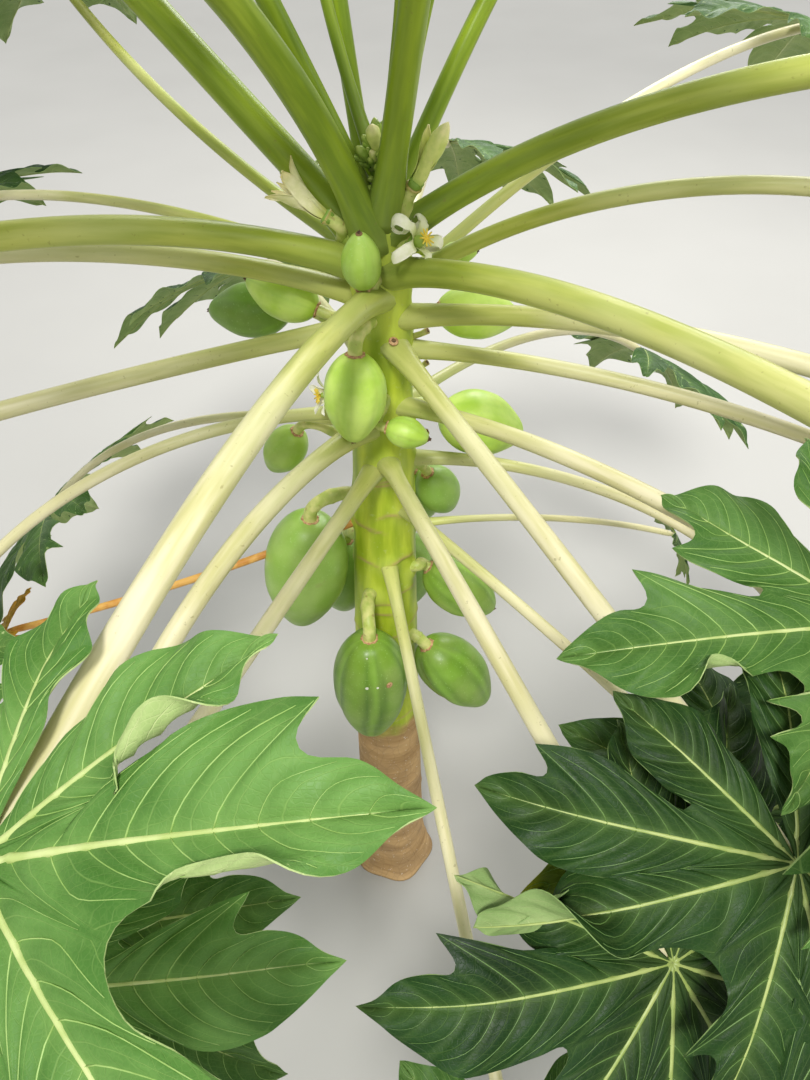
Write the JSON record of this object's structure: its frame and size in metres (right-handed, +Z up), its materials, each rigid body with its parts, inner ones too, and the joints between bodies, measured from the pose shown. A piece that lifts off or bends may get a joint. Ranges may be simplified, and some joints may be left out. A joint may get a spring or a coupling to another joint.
{
  "type": "papaya tree",
  "caption": "Young papaya tree in fruit: one slim ringed trunk, a crown of long-stalked lobed leaves, green fruit on short stems under them, and pale flowers near the tip.",
  "frame": {"origin": "middle of the flat cut under the trunk, at ground level", "axes": "+Z up, +X to the right and +Y away from the viewer in the picture's view"},
  "size_m": [1.7992, 1.697, 1.7657],
  "materials": {
    "bark": "green bark with leaf scars, greyish brown and cracked towards the ground",
    "leaf": "thin green blade with pale yellow ribs, on a smooth yellow-green stalk",
    "fruit": "waxy green skin, darker at the blossom end",
    "flower": "waxy cream petals"
  },
  "bodies": {
    "root": {"trunk": "bark", "leaf_01": "leaf", "leaf_02": "leaf", "leaf_03": "leaf", "leaf_04": "leaf", "leaf_05": "leaf", "leaf_06": "leaf", "leaf_07": "leaf", "leaf_08": "leaf", "leaf_09": "leaf", "leaf_10": "leaf", "leaf_11": "leaf", "leaf_12": "leaf", "leaf_13": "leaf", "leaf_14": "leaf", "leaf_15": "leaf", "leaf_16": "leaf", "leaf_17": "leaf", "leaf_18": "leaf", "leaf_19": "leaf", "leaf_20": "leaf", "leaf_21": "leaf", "leaf_22": "leaf", "leaf_23": "leaf", "leaf_24": "leaf", "leaf_25": "leaf", "leaf_26": "leaf", "leaf_27": "leaf", "leaf_28": "leaf", "leaf_29": "leaf", "leaf_30": "leaf", "leaf_31": "leaf", "leaf_32": "leaf", "leaf_33": "leaf", "leaf_34": "leaf", "fruit_01": "fruit", "fruit_02": "fruit", "fruit_03": "fruit", "fruit_04": "fruit", "fruit_05": "fruit", "fruit_06": "fruit", "fruit_07": "fruit", "fruit_08": "fruit", "fruit_09": "fruit", "fruit_10": "fruit", "fruit_11": "fruit", "fruit_12": "fruit", "fruit_13": "fruit", "fruit_14": "fruit", "fruit_15": "fruit", "fruit_16": "fruit", "fruit_17": "fruit", "flower_left": "flower", "flower_front": "flower", "flower_low": "flower", "flower_right": "flower", "growing_tip": "leaf"}
  },
  "joints": []
}
